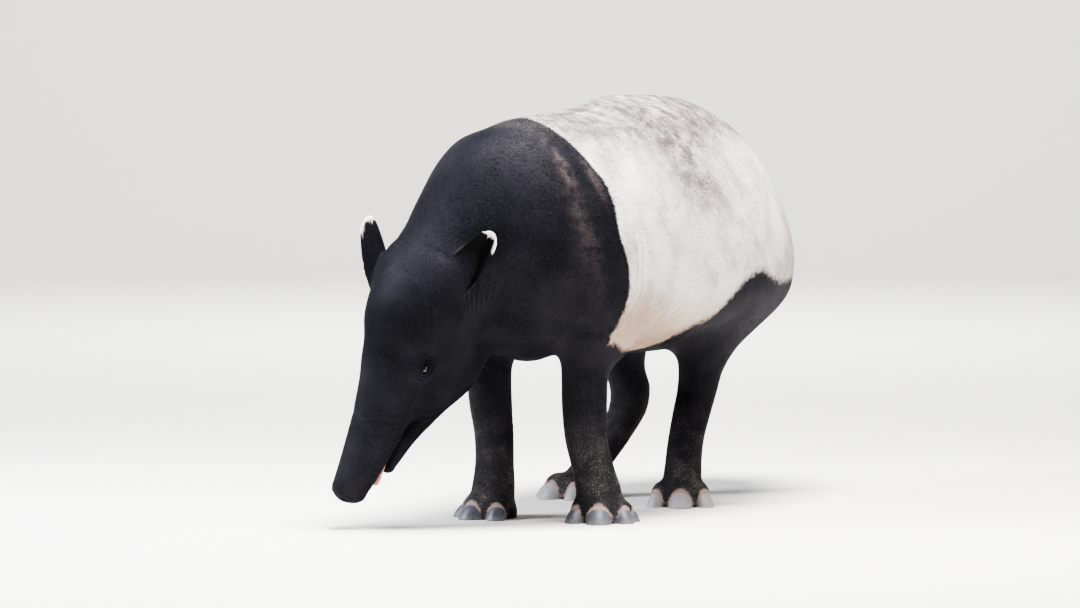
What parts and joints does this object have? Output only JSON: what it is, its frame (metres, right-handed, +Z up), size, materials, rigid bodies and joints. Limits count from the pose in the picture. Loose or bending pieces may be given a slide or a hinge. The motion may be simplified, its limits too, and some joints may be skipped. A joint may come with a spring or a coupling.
{
  "type": "malayan tapir",
  "caption": "Life-size still model of a Malayan tapir standing on its feet with the head lowered and turned, trunk-like nose near the ground, black with a pale saddle.",
  "frame": {"origin": "on the floor, under the middle of the bounding box", "axes": "+X towards the head, +Y to the animal's left, +Z up from the floor it stands on"},
  "size_m": [1.5619, 0.6318, 1.0219],
  "materials": {
    "black_hide": "short flat black hair with a blue-grey sheen",
    "white_hide": "short flat off-white hair, dusty along the back",
    "ear_hide": "thin short-haired black skin with a white rim at the tip",
    "hoof_horn": "grey worn horn, satin",
    "eye_wet": "wet, dark brown, glossy",
    "tongue_wet": "pink, moist"
  },
  "bodies": {
    "root": {"trunk": "white_hide", "neck": "black_hide", "head": "black_hide", "leg_front_left": "black_hide", "leg_front_right": "black_hide", "leg_hind_left": "black_hide", "leg_hind_right": "black_hide", "tail": "black_hide", "ear_left": "ear_hide", "ear_right": "ear_hide", "eye_left": "eye_wet", "eye_right": "eye_wet", "tongue": "tongue_wet", "hoof_front_left_middle": "hoof_horn", "hoof_front_left_inner": "hoof_horn", "hoof_front_left_outer": "hoof_horn", "hoof_front_left_small": "hoof_horn", "hoof_front_right_middle": "hoof_horn", "hoof_front_right_inner": "hoof_horn", "hoof_front_right_outer": "hoof_horn", "hoof_front_right_small": "hoof_horn", "hoof_hind_left_middle": "hoof_horn", "hoof_hind_left_inner": "hoof_horn", "hoof_hind_left_outer": "hoof_horn", "hoof_hind_right_middle": "hoof_horn", "hoof_hind_right_inner": "hoof_horn", "hoof_hind_right_outer": "hoof_horn"}
  },
  "joints": []
}
